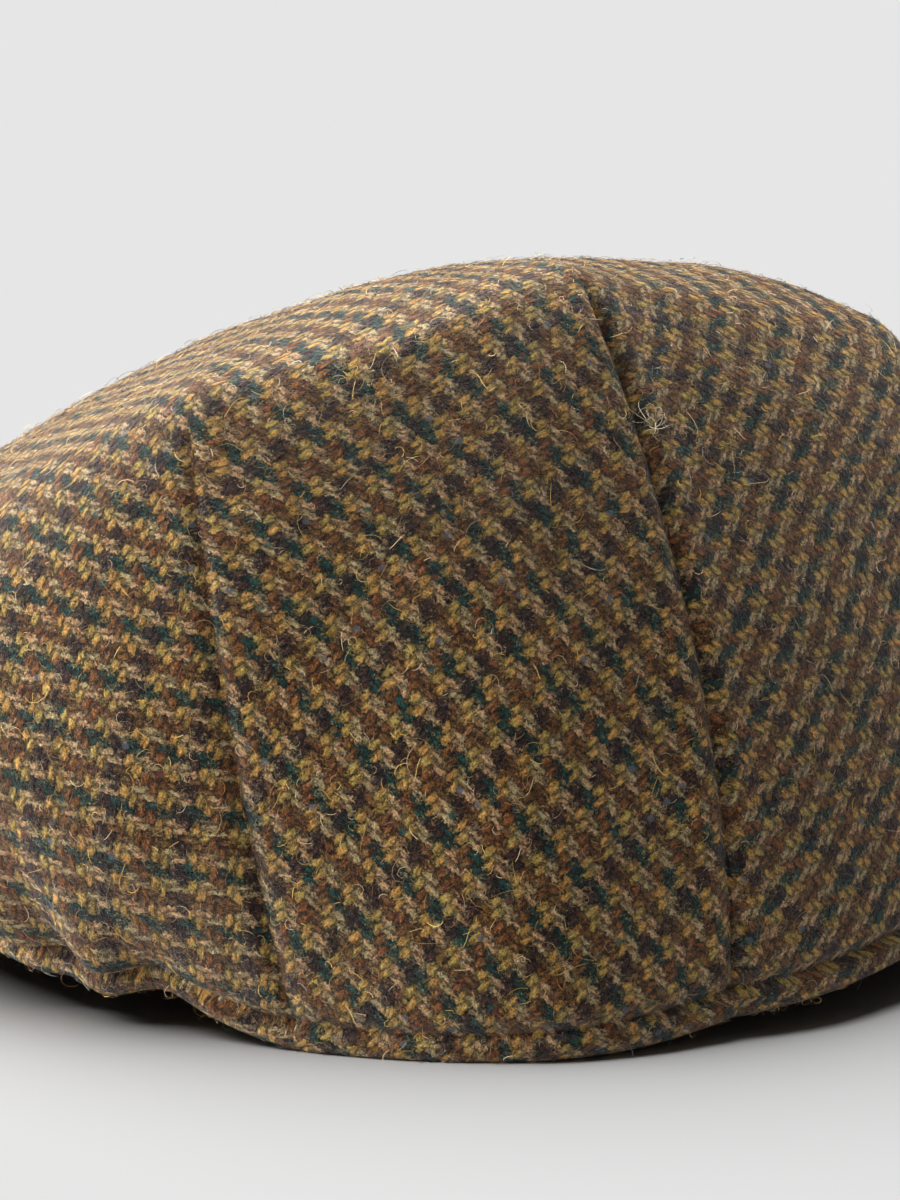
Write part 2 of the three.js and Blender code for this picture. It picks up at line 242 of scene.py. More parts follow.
# Loose fibres: a short nap, long curls that lie over it, and wisps of pulled wool.
# parts: straight lengths of each. length, width: in millimetres. curl: how far it turns, in radians.
# rise: steepest start from the cloth. drop: how far it bends back down. Both in degrees.
NAP, CURLS, WISPS = table(
    ("parts", "length", "width", "curl", "rise", "drop"),
    (3, 1.2, 0.07, 2.0, 60, 80),
    (6, 2.4, 0.075, 3.4, 45, 75),
    (6, 3.4, 0.10, 2.2, 70, 60),
)
LEAST_RISE = 10
LEAST_DROP = 15
LENGTH_SPREAD = 0.35
WIDTH_RANGE = (0.6, 1.3)
ROOT_DEPTH = 0.15
TAPER = 0.5
TABLE_GAP = 0.02
# How far the shading of a fibre strays from that of the cloth
FACING_SPREAD = 0.8
FACING_LEAST = 0.2
# Soft steps in a fibre's tone, from deep to its body's colour and on to pale
BODY_TONE, PALE_TONE = (0.0, 0.4), (0.3, 0.9)
CROWN_NAP_COUNT = 38000
CROWN_CURL_COUNT = 17500
CROWN_CURL_PIECES = 3
PEAK_CURL_COUNT = 6000
# Fibres are thin in the seams and, less so, in the hem's crease
BARE_SHARE = 0.85
SEAM_BARE_HALF = 1.0
HEM_BARE_SHARE = 0.7
HEM_BARE_HALF = 0.8
# A pulled tuft of pale wool right of the centre seam: its place round and up the wall, and its spread
TUFT = {"side": -1, "along": 2.6, "up": 81, "half": 0.9, "count": 26}
TUFT_COLOUR = (0.72, 0.60, 0.40, 1)
SEED = 7

# Studio: the photograph's camera, and a point of the cap with its place in the photo
CAMERA_TURN = math.radians(28)
CAMERA_RISE = math.radians(13)
CAMERA_AWAY = 1000
CAMERA_LENS = 225
CAMERA_SENSOR = 36
CAMERA_CLIP = (0.05, 60)
PHOTO_MIDDLE = (450, 600)
PIXELS_PER_MM = 7.5
SIGHT_POINT = (0, 101, 3)
SIGHT_PIXEL = (740, 1020)
FLOOR_HALF = 6.0
FLOOR_COLOUR = (0.6, 0.6, 0.6, 1)
WORLD_LIGHT = 0.03
# Soft lights. turn: from the camera round to the left. rise: above the table. width: how wide it looks.
# All three in degrees. reach: what the light falls on. The floor has its own, so that it stays even.
LIGHTS = table(
    ("name", "turn", "rise", "strength", "width", "reach"),
    ("left_light", 98, 12, 7.6, 45, "cap"),
    ("back_light", 187, 46, 6.2, 34, "cap"),
    ("front_fill", 50, 30, 0.9, 60, "cap"),
    ("right_fill", 290, 25, 0.45, 60, "cap"),
    ("floor_light", 122, 64, 4.5, 75, "floor"),
)


def bell(distance, half):
    """A smooth bump, 1 at no distance and about a third at half."""
    return np.exp(-((distance / half) ** 2))


def unit(v):
    return v / np.maximum(np.linalg.norm(v, axis=-1, keepdims=True), 1e-9)


def peak_top(x, y):
    """Height of the peak's upper face."""
    return PEAK_FRONT_LIFT + PEAK_RISE * (y + PEAK_REACH) - x * x / (2 * PEAK_ARCH_RADIUS) + PEAK_THICK


def crown_top(x, y):
    """Height of the line of the crown's top."""
    ahead = TOP_START[0] - y
    roof = np.minimum(TOP_ROOF[0] + TOP_ROOF[1] * ahead, TOP_ROOF[2])
    middle = TOP_START[1] - TOP_FALL * ahead - TOP_CURVE * ahead * np.abs(ahead)
    away = np.hypot(x - TOP_SWELL["x"], y - TOP_SWELL["y"])
    swell = TOP_SWELL["rise"] * bell(away, TOP_SWELL["half"])
    return middle - roof * (np.hypot(x, TOP_SOFT) - TOP_SOFT) + swell


def smooth_slopes(at, values):
    """Slopes of a smooth curve through values, one row of them at each place."""
    step = np.diff(at).reshape((-1,) + (1,) * (values.ndim - 1))
    rate = np.diff(values, axis=0) / step
    slopes = np.empty_like(values)
    slopes[1:-1] = (rate[:-1] * step[1:] + rate[1:] * step[:-1]) / (step[1:] + step[:-1])
    slopes[0] = 2 * rate[0] - slopes[1]
    slopes[-1] = 2 * rate[-1] - slopes[-2]
    return slopes


def smooth_read(at, values, slopes, where):
    """Reads that curve at the places where."""
    k = np.clip(np.searchsorted(at, where) - 1, 0, len(at) - 2)
    shape = (-1,) + (1,) * (values.ndim - 1)
    width = (at[k + 1] - at[k]).reshape(shape)
    u = (where - at[k]).reshape(shape) / width
    near = (2 * u**3 - 3 * u**2 + 1) * values[k] + (u**3 - 2 * u**2 + u) * width * slopes[k]
    far = (3 * u**2 - 2 * u**3) * values[k + 1] + (u**3 - u**2) * width * slopes[k + 1]
    return near + far


class Half:
    """One side of the crown: its sections as two smooth runs that meet at the side dart."""

    def __init__(self, side):
        self.side = side
        self.back = self.run(SECTIONS[: DART_SECTION + 1], 0, False)
        self.dart = self.back[0][-1]
        self.front = self.run(SECTIONS[DART_SECTION:], self.dart, True)
        self.end = self.front[0][-1]

    def values(self, row):
        """A section as one row of numbers."""
        which = 0 if self.side > 0 else 1
        lift = row["lift"][which] if row["lift"] else peak_top(*row["rim"]) + GAP
        fold_x, fold_y = row["fold"]
        fold_z = crown_top(self.side * fold_x, fold_y) - row["sink"][which]
        return [*row["rim"], lift, *row["knee"], fold_x, fold_y, fold_z, *row["round"]]

    def run(self, rows, start, to_front):
        """Places round the wall of some sections, their numbers and the slopes of those."""
        values = np.array([self.values(row) for row in rows], float)
        knee_x, knee_y, _ = values[:, KNEE].T
        steps = np.hypot(np.diff(knee_x), np.diff(knee_y))
        at = start + np.concatenate([[0], np.cumsum(steps)])
        slopes = smooth_slopes(at, values)
        if to_front:
            rate = (values[-1] - values[-2]) / steps[-1]
            slopes[-1] = 0
            slopes[-1, ACROSS] = FRONT_SLOPE * rate[ACROSS]
        return at, values, slopes

    def places(self):
        """Columns of the fine mesh, closest together at the darts."""
        finest, grow, most, most_front = COLUMN_STEP
        darts = (0, self.dart)
        places = []
        for start, end in zip(darts, (self.dart, self.end)):
            row = [start]
            while row[-1] < end:
                away = min(abs(row[-1] - dart) for dart in darts)
                cap = most if row[-1] < FRONT_FROM else most_front
                row.append(row[-1] + min(finest + grow * away, cap))
            row = np.array(row)
            places.append(start + (row[:-1] - start) * (end - start) / (row[-1] - start))
        return np.concatenate([*places, [self.end]])

    def column(self, along):
        """Points and heights of one column, from the rim to just short of the middle of the top."""
        run = self.back if along <= self.dart else self.front
        v = smooth_read(*run, np.array([along]))[0]
        rim, knee, fold, (below, above) = v[RIM], v[KNEE], v[FOLD], v[ROUND]
        u = np.linspace(0, 1, CURVE_STEPS + 1)[:, None]
        wall = (1 - u) ** 2 * rim + 2 * u * (1 - u) * knee + u * u * fold
        flat = fold[:2] + (np.array(TOP_MIDDLE) - fold[:2]) * u[1:]
        sunk = fold[2] - crown_top(self.side * fold[0], fold[1])
        height = crown_top(self.side * flat[:, 0], flat[:, 1]) + sunk * (1 - u[1:, 0]) ** TOP_SETTLE
        points = np.vstack([wall, np.column_stack([flat, height])])
        length = np.concatenate([[0], np.cumsum(np.linalg.norm(np.diff(points, axis=0), axis=1))])
        top, total = length[CURVE_STEPS], length[-1]

        def read(up):
            return np.column_stack([np.interp(up, length, points[:, k]) for k in range(3)])

        low, high = top - below, top + above
        hem = HEM_ROWS[-1]
        ups = np.concatenate([
            HEM_ROWS,
            hem + (low - hem) * WALL_ROWS,
            top + np.where(BEND_ROWS < 0, below, above) * BEND_ROWS,
            high + (total - high) * TOP_ROWS,
        ])
        placed = read(ups)
        bent = (ups > low) & (ups < high)
        b = ((ups[bent] - low) / (high - low))[:, None]
        start, end = read(np.array([low, high]))
        placed[bent] = (1 - b) ** 2 * start + 2 * b * (1 - b) * fold + b * b * end
        placed[:, 0] *= self.side
        placed[:, 2] += hem_rise(self.side, along, ups)
        return placed, ups, top


def hem_rise(side, along, up):
    """Lift of the cloth where the hem stands off the table."""
    fade = np.maximum(0, 1 - up / HEM_RISE["top"]) ** 2
    rise = HEM_RISE["rise"] * bell(along - HEM_RISE["along"], HEM_RISE["half"])
    return (side == HEM_RISE["side"]) * rise * fade


def fold_swell(side, along, up):
    """Outward swell of the soft folds."""
    hold = np.minimum(1, HEM_HOLD_SHARE + up / HEM_HOLD)
    swell = np.zeros_like(up)
    for fold in FOLDS:
        fade = np.maximum(0, 1 - (up / fold["top"]) ** 2) * hold
        height = fold["swell"] * bell(along - fold["along"], fold["half"])
        swell += (side == fold["side"]) * height * fade
    return swell


def dart_swell(along, up, wall, dart):
    """Grooves of the darts and the puff beside them."""
    at_top = np.clip((wall + DART_PAST - up) / DART_FADE, 0, 1)
    fade = at_top * np.clip(up / DART_END, DART_END_SHARE, 1)
    swell = 0
    for seam, groove, puff in ((0, CENTRE_GROOVE, CENTRE_PUFF), (dart, SIDE_GROOVE, SIDE_PUFF)):
        away = np.abs(along - seam)
        beside = puff * bell(away - DART_PUFF_AT, DART_PUFF_HALF)
        swell = swell + beside - groove * bell(away, DART_HALF)
    return swell * fade


def hem_swell(up):
    """Roll of the hem and the crease at its stitching."""
    middle = HEM_STITCH / 2
    roll = HEM_ROLL * np.sqrt(np.maximum(0, 1 - ((up - middle) / middle) ** 2))
    crease = HEM_CREASE * bell(up - HEM_STITCH, HEM_CREASE_HALF)
    return np.where(up < HEM_STITCH, roll - HEM_CREASE, -crease)


def soft_relief(points, wave, height, seed):
    """Gentle random unevenness of the cloth, with bumps about wave long."""
    rng = np.random.default_rng(seed)
    relief = np.zeros(points.shape[:-1])
    for _ in range(RELIEF_WAVES):
        direction = unit(rng.normal(size=3)) * 2 * math.pi / (wave * rng.uniform(*RELIEF_LENGTHS))
        relief += np.cos(points @ direction + rng.uniform(0, 2 * math.pi))
    return height * relief * math.sqrt(2 / RELIEF_WAVES)


def settle(points):
    """Nothing goes below the table, and the front of the crown stays just above the peak."""
    over_peak = points[..., 1] < GAP_FROM
    low = np.where(over_peak, np.maximum(0, peak_top(points[..., 0], points[..., 1]) + GAP), 0)
    settled = points.copy()
    settled[..., 2] = np.maximum(points[..., 2], low)
    return settled


def crown_grid():
    """The plain sheet of the crown as columns by rows, with the values that shape it."""
    left, right = Half(1), Half(-1)
    columns = [(left, along) for along in left.places()]
    columns += [(right, along) for along in right.places()[-2:0:-1]]
    sheet, up, wall = map(np.array, zip(*(half.column(along) for half, along in columns)))
    side = np.array([half.side for half, _ in columns])
    along = np.array([along for _, along in columns])
    from_dart = np.abs(along - left.dart)
    return {
        "sheet": sheet,
        "up": up,
        "wall": wall[:, None],
        "side": side[:, None],
        "along": along[:, None],
        "dart": left.dart,
        "darts": [int(np.argmin(np.where(side == s, from_dart, np.inf))) for s in (1, -1)],
        "pole": np.array([*TOP_MIDDLE, crown_top(*TOP_MIDDLE)], float),
    }


def grid_normals(sheet, pole):
    """Outward directions of a sheet of columns by rows that closes on itself round the pole."""
    ends = np.broadcast_to(pole, (len(sheet), 1, 3))
    full = np.concatenate([sheet, ends], axis=1)
    round_ = np.roll(full, -1, axis=0) - np.roll(full, 1, axis=0)
    rise = np.gradient(full, axis=1)
    return unit(np.cross(rise, round_)[:, :-1])


def crown_skins(grid):
    """Outer and inner skin of the crown."""
    sheet, up = grid["sheet"], grid["up"]
    normals = grid_normals(sheet, grid["pole"])
    along, side, wall = (np.broadcast_to(grid[key], up.shape) for key in ("along", "side", "wall"))
    fold = np.where(up < wall, fold_swell(side, along, up), 0)
    detail = dart_swell(along, up, wall, grid["dart"]) + hem_swell(up)
    relief = sum(soft_relief(sheet, *layer) for layer in RELIEF)
    outer = settle(sheet + normals * (fold + detail + relief)[..., None])
    thick = np.where(up < HEM_WALL_TO, HEM_WALL, WALL)
    inner = settle(sheet + normals * (fold + relief - thick)[..., None])
    return outer, inner


def spread(a, b, step):
    """Whole numbers from a to b, about step apart, both ends among them."""
    return [int(round(v)) for v in np.linspace(a, b, max(2, int(round((b - a) / step)) + 1))]


def lay_flat(grid, outer):
    """Lays the crown's cloth out flat, slit at each dart, in millimetres with the back of the top up.

    Returns the flat places of every column and row for each of the three panels between the darts.
    """
    count, rows = outer.shape[:2]
    left, right = grid["darts"]
    front = int(np.argmax(grid["along"][:, 0]))
    marks = sorted({0, left, right, front, count})
    columns = set()
    for a, b in zip(marks[:-1], marks[1:]):
        columns.update(spread(a, b, FLAT_STEP[0]))
    columns = sorted(columns)[:-1]
    levels = sorted({*spread(0, FOLD_ROW, FLAT_STEP[1]), *spread(FOLD_ROW, rows - 1, FLAT_STEP[1])})
    fold = levels.index(FOLD_ROW)
    points = np.vstack([outer[columns][:, levels].reshape(-1, 3), grid["pole"]])
    wide, high = len(columns), len(levels)
    faces, slits = [], set()
    for i, column in enumerate(columns):
        a, b = i * high, (i + 1) % wide * high
        faces += [(a + j, a + j + 1, b + j + 1, b + j) for j in range(high - 1)]
        faces.append((a + high - 1, wide * high, b + high - 1))
        if column in (0, left, right):
            slits |= {(a + j, a + j + 1) for j in range(fold)}
    corner, flat = unwrap(points, faces, slits)
    turn, scale, centre = flat_frame(points, corner, flat, faces)
    flat = (flat - centre) @ turn.T * scale

    flat = flat.reshape(wide, 4 * (high - 1) + 3, 2)
    quads = flat[:, :-3].reshape(wide, high - 1, 4, 2)
    fans = flat[:, -3:]
    near = np.concatenate([quads[:, :, 0], fans[:, None, 0], fans[:, None, 1]], axis=1)
    far = np.concatenate([quads[:, :, 3], fans[:, None, 2], fans[:, None, 1]], axis=1)
    panels = []
    for (a, b), turn in zip(((0, left), (left, right), (right, count)), PANEL_TURNS):
        held = [k for k, column in enumerate(columns) if a <= column < b]
        known = ease(np.concatenate([near[held], far[held[-1:]]]), fold, turn)
        panels.append(refine(grid, [*(columns[k] for k in held), b], levels, known))
    return panels


def unwrap(points, faces, slits):
    """Lays a mesh out flat, open along the slits: the point and flat place at each corner."""
    mesh = bpy.data.meshes.new("flat_pattern")
    mesh.from_pydata(points.tolist(), [], faces)
    for edge in mesh.edges:
        edge.use_seam = tuple(sorted(edge.vertices)) in slits
    piece = add_object("flat_pattern", mesh)
    bpy.context.view_layer.objects.active = piece
    piece.select_set(True)
    mesh.uv_layers.new(name="flat")
    bpy.ops.object.mode_set(mode="EDIT")
    bpy.ops.mesh.select_all(action="SELECT")
    bpy.ops.uv.unwrap(
        method="MINIMUM_STRETCH", fill_holes=False, correct_aspect=False, iterations=FLAT_PASSES,
    )
    bpy.ops.object.mode_set(mode="OBJECT")
    flat = np.empty(len(mesh.loops) * 2)
    mesh.uv_layers["flat"].data.foreach_get("uv", flat)
    corner = np.empty(len(mesh.loops), int)
    mesh.loops.foreach_get("vertex_index", corner)
    bpy.data.objects.remove(piece)
    bpy.data.meshes.remove(mesh)
    return corner, flat.reshape(-1, 2)


def face_spans(p):
    """Two directions that span twice a face's area: a quad's diagonals, or two edges of a triangle."""
    return p[2] - p[0], p[3] - p[1] if len(p) == 4 else p[1] - p[0]


def flat_frame(points, corner, flat, faces):
    """Turn, scale and centre that set the flat pattern to millimetres with the back of the top up."""
    height = points[corner, 2]
    across = points[corner][:, :2]
    reach = np.hypot(across[:, 0] - TOP_MIDDLE[0], across[:, 1] - TOP_MIDDLE[1])
    on_top = (reach < FLAT_TOP_REACH) & (height > FLAT_TOP_HEIGHT)
    away = across[on_top] - across[on_top].mean(0)
    laid = flat[on_top] - flat[on_top].mean(0)
    fit, *_ = np.linalg.lstsq(laid, away, rcond=None)
    u, _, v = np.linalg.svd(fit.T)
    area, laid_area, start = 0.0, 0.0, 0
    for face in faces:
        area += np.linalg.norm(np.cross(*face_spans(points[list(face)]))) / 2
        d, e = face_spans(flat[start : start + len(face)])
        laid_area += abs(d[0] * e[1] - d[1] * e[0]) / 2
        start += len(face)
    centre = flat[corner == len(points) - 1][0]
    return u @ v, math.sqrt(area / laid_area), centre


def turned(flat, pivot, angle):
    """Flat places turned about a pivot."""
    away = flat - pivot
    x, y = away[..., 0], away[..., 1]
    c, s = np.cos(angle), np.sin(angle)
    return pivot + np.stack([c * x - s * y, s * x + c * y], -1)


def ramp(value):
    """A soft step from 0 to 1."""
    value = np.clip(value, 0, 1)
    return value * value * (3 - 2 * value)


def side_drift(flat):
    """How far the cloth has turned on the crown's sides, so that its threads fall to the back."""
    across, back = flat[..., 0], flat[..., 1]
    outwards = ramp((np.abs(across) - SIDE_OUT[0]) / SIDE_OUT[1])
    backwards = ramp((back - SIDE_BACK[0]) / SIDE_BACK[1])
    angle = np.sign(across) * SIDE_TURN * outwards * backwards
    pivot = np.stack([np.sign(across) * SIDE_PIVOT[0], np.full_like(back, SIDE_PIVOT[1])], axis=-1)
    return turned(flat, pivot, angle) - flat


def ease(known, fold, turn):
    """Eases one panel of the flat pattern to the way its threads really lie."""
    drift = side_drift(known)
    if turn is None:
        return known + drift
    below = np.linalg.norm(known - known[:, fold : fold + 1], axis=-1)
    below[:, fold:] = 0
    pivot = known[len(known) // 2, fold]
    swung = turned(known, pivot, turn * ramp(below / BACK_EASE)) - known
    drift[:, :fold] = drift[:, fold : fold + 1] * (1 - ramp(below[:, :fold] / BACK_EASE))[..., None]
    return known + drift + swung


def refine(grid, columns, levels, known):
    """Flat places of one panel at every column and row, from those known at a few of them."""
    up = grid["up"]
    heights = np.column_stack([up, up[:, -1] + (up[:, -1] - up[:, -2])])
    tall = []
    for k, column in enumerate(columns):
        at = heights[column % len(up)]
        places = np.append(at[levels], at[-1])
        slopes = smooth_slopes(places, known[k])
        tall.append(smooth_read(places, known[k], slopes, at))
    tall = np.array(tall)
    step = np.abs(np.diff(np.append(grid["along"][:, 0], 0)))
    run = np.concatenate([[0], np.cumsum(step)])
    places = run[columns]
    wanted = run[columns[0] : columns[-1] + 1]
    return smooth_read(places, tall, smooth_slopes(places, tall), wanted)


def to_cad(points):
    """From millimetres in the cap's frame to metres in the CAD frame."""
    return (points + SHIFT) * MM


def add_object(name, data):
    made = bpy.data.objects.new(name, data)
    bpy.context.collection.objects.link(made)
    return made


def make_mesh(name, points, quads, tris, flat):
    """A smooth mesh piece. flat has the weave's place for each corner, quads first."""
    mesh = bpy.data.meshes.new(name)
    corners = np.concatenate([np.ravel(quads), np.ravel(tris)]).astype(np.int32)
    starts = np.concatenate([np.arange(len(quads)) * 4, len(quads) * 4 + np.arange(len(tris)) * 3])
    mesh.vertices.add(len(points))
    mesh.vertices.foreach_set("co", to_cad(points).astype(np.float32).ravel())
    mesh.loops.add(len(corners))
    mesh.loops.foreach_set("vertex_index", corners)
    mesh.polygons.add(len(starts))
    mesh.polygons.foreach_set("loop_start", starts.astype(np.int32))
    mesh.update(calc_edges=True)
    layer = mesh.uv_layers.new(name="weave")
    layer.data.foreach_set("uv", np.asarray(flat, np.float32).ravel())
    mesh.shade_smooth()
    return add_object(name, mesh)


def dress(piece, material):
    """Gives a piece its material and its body."""
    piece.data.materials.append(material)
    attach(piece, "root")


def band_corners(count, rows, start=0):
    """Corners of the quads of a sheet of columns by rows that closes on itself, counted from start."""
    i = np.arange(count)[:, None]
    j = np.arange(rows - 1)[None, :]
    n = (i + 1) % count
    quads = np.stack([i * rows + j, i * rows + j + 1, n * rows + j + 1, n * rows + j], axis=-1)
    return start + quads.reshape(-1, 4)


def panel_corners(panels, levels):
    """Flat places at the corners of those quads, panel by panel, and of the last ring at the pole."""
    quads, fans = [], []
    for panel in panels:
        flat = panel[:, levels]
        near, far = flat[:-1], flat[1:]
        quads.append(np.stack([near[:, :-1], near[:, 1:], far[:, 1:], far[:, :-1]], axis=2))
        fans.append(np.stack([near[:, -1], panel[:-1, -1], far[:, -1]], axis=1))
    return np.concatenate(quads), np.concatenate(fans)


def build_crown(material):
    """The crown's cloth. Returns its outer points, and the weave and fibre shares of their quads."""
    grid = crown_grid()
    outer, inner = crown_skins(grid)
    panels = lay_flat(grid, outer)
    count, rows = outer.shape[:2]
    few = [0, *range(len(HEM_ROWS) - 1, rows, INNER_ROW_STEP)]
    few = few if few[-1] == rows - 1 else [*few, rows - 1]
    inner = inner[:, few]
    lip = hem_lip(outer, inner[:, 0])
    inner_rows, ring = len(few), lip.shape[1]
    quads, fans = panel_corners(panels, list(range(rows)))
    inner_quads, inner_fans = panel_corners(panels, few)
    lip_flat = np.stack([quads[:, 0, 0]] * 2 + [quads[:, 0, 3]] * 2, axis=1)

    pole = grid["pole"]
    points = np.vstack([
        outer.reshape(-1, 3), inner.reshape(-1, 3), lip.reshape(-1, 3), pole, pole - [0, 0, WALL],
    ])
    inner_start = count * rows
    lip_start = inner_start + count * inner_rows
    pole_at = lip_start + count * ring

    def edge_chain(column):
        """Points round the edge of the hem, from the outer to the inner skin."""
        under = [lip_start + column * ring + k for k in range(ring)]
        return [column * rows, *under, inner_start + column * inner_rows]

    i = np.arange(count)
    n = (i + 1) % count
    here, there = edge_chain(i), edge_chain(n)
    lip_faces = [
        np.stack([here[k + 1], here[k], there[k], there[k + 1]], axis=-1) for k in range(ring + 1)
    ]
    inner_faces = band_corners(count, inner_rows, inner_start)[:, ::-1]
    all_quads = np.concatenate([band_corners(count, rows), inner_faces, *lip_faces])
    last, inner_last = rows - 1, inner_start + inner_rows - 1
    all_fans = np.concatenate([
        np.stack([i * rows + last, np.full(count, pole_at), n * rows + last], axis=-1),
        np.stack([
            n * inner_rows + inner_last, np.full(count, pole_at + 1), i * inner_rows + inner_last,
        ], axis=-1),
    ])
    flat = np.concatenate([
        quads.reshape(-1, 2),
        inner_quads.reshape(-1, 4, 2)[:, ::-1].reshape(-1, 2),
        *[lip_flat.reshape(-1, 2) for _ in lip_faces],
        fans.reshape(-1, 2),
        inner_fans[:, ::-1].reshape(-1, 2),
    ])
    piece = make_mesh("crown_cloth", points, all_quads, all_fans, flat)
    dress(piece, material)
    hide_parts("crown")
    return outer, quads.reshape(-1, 4, 2), fibre_cover(grid).ravel(), tuft_cover(grid).ravel()


def hem_lip(outer, inner_rim):
    """Rounded underside of the hem, between the outer and the inner skin."""
    rim = outer[:, 0]
    down = -unit(outer[:, 2] - outer[:, 0])
    rows = []
    for u in HEM_LIP_AT:
        across = rim + (inner_rim - rim) * u
        rows.append(across + down * HEM_LIP_DROP * math.sin(math.pi * u))
    return settle(np.stack(rows, axis=1))


def build_peak(material):
    """The peak, a curved plate with a rounded edge. Returns its shown quads and their weave."""
    turn = np.pi * (np.linspace(0, 1, PEAK_COLUMNS + 1) - 0.5)
    full = np.minimum(1, (np.pi / 2 - np.abs(turn)) / PEAK_TIP_TURN)
    thick = PEAK_TIP_THICK + (PEAK_THICK - PEAK_TIP_THICK) * np.sin(full * np.pi / 2)
    ahead = -PEAK_ROOT - (PEAK_REACH - PEAK_ROOT) * np.cos(turn)
    out = np.stack([PEAK_HALF_WIDTH * np.sin(turn), ahead], -1)
    head = turn * (1 - math.asin(PEAK_ROOT / HEAD_HALF_LENGTH) / (np.pi / 2))
    inn = np.stack([HEAD_HALF_WIDTH * np.sin(head), -HEAD_HALF_LENGTH * np.cos(head)], -1)
    width = np.linalg.norm(out - inn, axis=1)
    edge = np.minimum(thick / 2, width / 3) / width
    edge, thick = edge[:, None], thick[:, None]
    bend = np.linspace(0, np.pi, PEAK_EDGE_STEPS + 2)[1:-1]
    face = (1 - edge) * np.linspace(0, 1, PEAK_ROWS)
    nose = 1 - edge + edge * np.sin(bend)
    spans = np.concatenate([face, nose, face[:, ::-1]], axis=1)[..., None]
    drop = thick * (1 - np.cos(bend)) / 2
    downs = np.concatenate([np.zeros_like(face), drop, np.broadcast_to(thick, face.shape)], axis=1)
    place = inn[:, None] + (out - inn)[:, None] * spans
    height = np.maximum(0, peak_top(place[..., 0], place[..., 1]) - downs)
    points = np.concatenate([place, height[..., None]], axis=-1)
    loop = points.shape[1]
    i = np.arange(PEAK_COLUMNS)[:, None] * loop
    j = np.arange(loop)[None, :]
    n = (j + 1) % loop
    round_quads = np.stack([i + j, i + n, i + loop + n, i + loop + j], -1)
    low = np.arange(loop // 2)
    high = loop - 1 - low
    cap = np.stack([low[:-1], high[:-1], high[1:], low[1:]], axis=-1)
    end = PEAK_COLUMNS * loop + cap[:, ::-1]
    points = points.reshape(-1, 3)
    quads = np.concatenate([round_quads.reshape(-1, 4), cap, end])
    piece = make_mesh("peak_cloth", points, quads, np.empty((0, 3)), points[quads][..., :2])
    dress(piece, material)
    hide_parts("peak")
    shown = points[round_quads[:, :-1].reshape(-1, 4)]
    return shown, shown[..., :2]


def fibre_cover(grid):
    """How thick the fibres stand on each quad of the crown: thin in the seams and the hem's crease."""
    up, along = grid["up"][:, :-1], grid["along"]
    away = np.minimum(along, np.abs(along - grid["dart"]))
    sewn = bell(away, SEAM_BARE_HALF) * (up < grid["wall"])
    return 1 - BARE_SHARE * np.maximum(sewn, HEM_BARE_SHARE * bell(up - HEM_STITCH, HEM_BARE_HALF))


def tuft_cover(grid):
    """Share of each quad of the crown in the pulled tuft of wool."""
    away = np.hypot(grid["along"] - TUFT["along"], grid["up"][:, :-1] - TUFT["up"])
    return bell(away, TUFT["half"]) * (grid["side"] == TUFT["side"])


def scatter(corners, flat, share, count, rng):
    """Random roots on quads, by area and share: place, outward direction and place in the weave."""
    d, e = corners[:, 2] - corners[:, 0], corners[:, 1] - corners[:, 3]
    cross = np.cross(e, d)
    area = np.linalg.norm(cross, axis=1) * share
    chosen = rng.choice(len(corners), count, p=area / area.sum())
    s, t = rng.random((2, count, 1))
    weights = [(1 - s) * (1 - t), (1 - s) * t, s * t, s * (1 - t)]
    place = sum(w * corners[chosen, k] for k, w in enumerate(weights))
    weave = sum(w * flat[chosen, k] for k, w in enumerate(weights))
    return place, unit(cross[chosen]), weave


def build_fibres(name, roots, style, material, rng):
    """Curly loose fibres as thin tapering ribbons."""
    place, out, weave = roots
    count, parts = len(place), style["parts"]
    side = unit(np.cross(out, rng.normal(size=(count, 3))))
    ahead = np.cross(out, side)
    heading = rng.uniform(0, 2 * np.pi, count)
    curl, twist = rng.normal(0, style["curl"], (2, count))
    rise = np.radians(rng.uniform(LEAST_RISE, style["rise"], count))
    drop = rise + np.radians(rng.uniform(LEAST_DROP, style["drop"], count))
    step = style["length"] * np.exp(rng.normal(0, LENGTH_SPREAD, count)) / parts
    thin = style["width"] * rng.uniform(*WIDTH_RANGE, count)
    path = [place - out * ROOT_DEPTH]
    points = []
    roll = rng.uniform(-1, 1, (count, 1))
    for k in range(parts):
        s = (k + 0.5) / parts
        turn = heading + curl * s + twist * s * s
        lift = rise - drop * s
        flat_way = np.cos(turn)[:, None] * side + np.sin(turn)[:, None] * ahead
        way = np.cos(lift)[:, None] * flat_way + np.sin(lift)[:, None] * out
        taper = 1 - TAPER * (k / parts) ** 2
        across = unit(np.cross(way, out) + roll * out) * (thin * taper / 2)[:, None]
        points += [path[k] - across, path[k] + across]
        path.append(path[k] + way * step[:, None])
    points = np.stack([*points, path[-1]], axis=1)
    points[..., 2] = np.maximum(points[..., 2], TABLE_GAP)
    corners = 2 * parts + 1
    base = np.arange(count)[:, None] * corners
    quads = np.concatenate([base + [2 * k, 2 * k + 1, 2 * k + 3, 2 * k + 2] for k in range(parts - 1)])
    tris = base + [corners - 3, corners - 2, corners - 1]
    flat = np.concatenate([np.repeat(weave, 4, axis=0)] * (parts - 1) + [np.repeat(weave, 3, axis=0)])
    piece = make_mesh(name, points.reshape(-1, 3), quads, tris, flat)
    facing = unit(out + FACING_SPREAD * rng.normal(size=(count, 3)))
    outwards = np.sum(facing * out, axis=1, keepdims=True)
    facing = unit(facing + out * np.maximum(0, FACING_LEAST - outwards))
    piece.data.normals_split_custom_set_from_vertices(np.repeat(facing, corners, axis=0).tolist())
    tone = piece.data.attributes.new("tone", "FLOAT", "POINT")
    tone.data.foreach_set("value", np.repeat(rng.random(count), corners).astype(np.float32))
    dress(piece, material)


